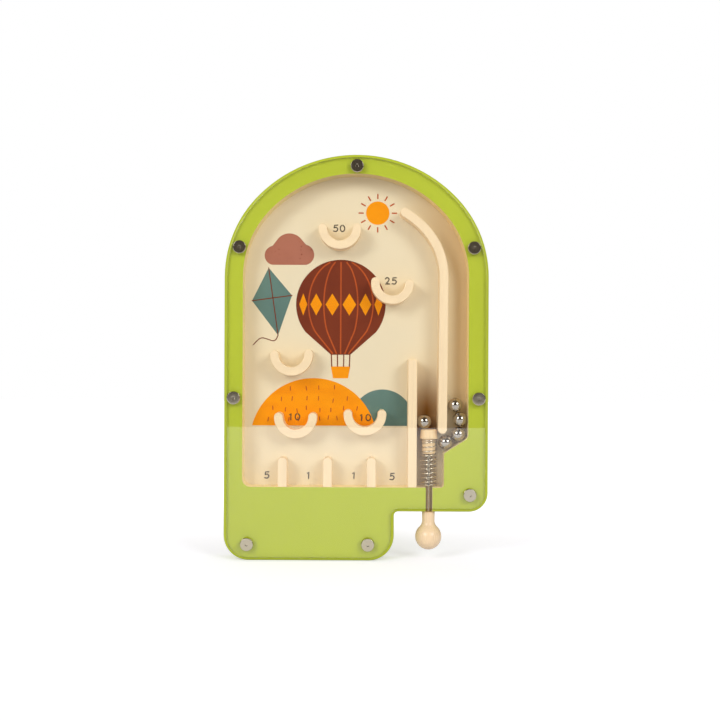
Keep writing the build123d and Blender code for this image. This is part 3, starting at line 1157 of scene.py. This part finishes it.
# %% The kite and the cloud
kite_x = -61.0
kite_z = 186.0
spar_width = 0.7
kite = [
    (kite_x + 14, kite_z + 4),
    (kite_x - 3, kite_z + 24),
    (kite_x - 15, kite_z),
    (kite_x + 4, kite_z - 25),
]
print_shapes("print_kite", [[kite]], teal_ink, 1)
tail = smooth_line([
    kite[3],
    (kite_x + 1, kite_z - 29),
    (kite_x - 8, kite_z - 27),
    (kite_x - 14, kite_z - 32),
])
lines = [[kite[1], kite[3]], [kite[2], kite[0]], tail]
print_shapes("print_spars", [[stroke(line, spar_width)] for line in lines], brown_ink, 2)

cloud = arc(-38.5, 219.5, 7.5, -78, 78, steps=16)
cloud += arc(-49.0, 224.0, 11.0, 40, 140, steps=20)
cloud += arc(-60.0, 219.0, 7.0, 100, 258, steps=16)
print_shapes("print_cloud", [[cloud]], rose_ink, 1)
print("points in the tail:", len(tail), "in the cloud:", len(cloud))

# %% The sun
sun_x = 15.0
sun_z = 250.0
sun_radius = 8.5
ray_count = 12
ray_ends = (10.6, 13.6)
ray_width = 1.0
sun = arc(sun_x, sun_z, sun_radius, 0, 360, steps=40)[:-1]
print_shapes("print_sun", [[sun]], orange_ink, 1)
rays = []
for index in range(ray_count):
    angle = math.tau * index / ray_count
    ends = [(sun_x + end * math.cos(angle), sun_z + end * math.sin(angle)) for end in ray_ends]
    rays.append([stroke(ends, ray_width)])
print_shapes("print_rays", rays, rust_ink, 1)
print("rays round the sun:", len(rays))

# %% [markdown]
# ## Score numbers
# The scores are plain hand-drawn figures. A text object could write them, but a font looks set, not
# drawn. So each figure is one or two pen lines in a box one unit high, and the figures are set
# beside each other and laid at the cup or pocket they belong to.

# %% Figures
figure_height = 4.6
figure_width = 3.7
figure_gap = 1.2
pen = 0.78
figures = {
    "0": [smooth_line([
        (0.5, 1.0), (0.14, 0.78), (0.1, 0.3), (0.42, 0.0), (0.84, 0.16), (0.92, 0.64), (0.56, 1.0)
    ])],
    "1": [[(0.28, 0.8), (0.56, 1.0), (0.52, 0.0)]],
    "2": [smooth_line([(0.1, 0.8), (0.42, 1.02), (0.8, 0.82), (0.66, 0.46), (0.1, 0.0)]) + [(0.92, 0.02)]],
    "5": [
        [(0.9, 1.0), (0.26, 0.98), (0.2, 0.58)],
        smooth_line([(0.2, 0.58), (0.6, 0.64), (0.9, 0.36), (0.62, 0.02), (0.08, 0.06)]),
    ],
}


def figure_strokes(text, x, z):
    """Pen lines of a number whose middle lies at x and z."""
    pitch = figure_width + figure_gap
    left = x - (len(text) * pitch - figure_gap) / 2
    bands = []
    for index, figure in enumerate(text):
        start = left + index * pitch
        for line in figures[figure]:
            points = [(start + a * figure_width, z + (b - 0.5) * figure_height) for a, b in line]
            bands.append([stroke(points, pen)])
    return bands


print("figures drawn:", list(figures))

# %% Scores at cups and pockets
def cup_middle(node):
    """The middle of a cup's round part, in millimetres."""
    low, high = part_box(node)
    return (low.x + high.x) / 2 / MM, low.z / MM + (high.x - low.x) / 2 / MM


scores = [("5", -64.7, 59.5), ("1", -34.4, 59.5), ("1", -1.5, 59.5), ("5", 26.3, 58.8)]
for node, text, right, up in (
    ("cup_50", "50", -0.8, 1.2),
    ("cup_25", "25", -0.8, 2.3),
    ("cup_10_left", "10", -1.8, -0.4),
    ("cup_10_right", "10", 0.0, -3.0),
):
    x, z = cup_middle(node)
    scores.append((text, x + right, z + up))
bands = []
for text, x, z in scores:
    bands += figure_strokes(text, x, z)
print_shapes("print_scores", bands, grey_ink, 5)
print("scores printed:", [text for text, x, z in scores])
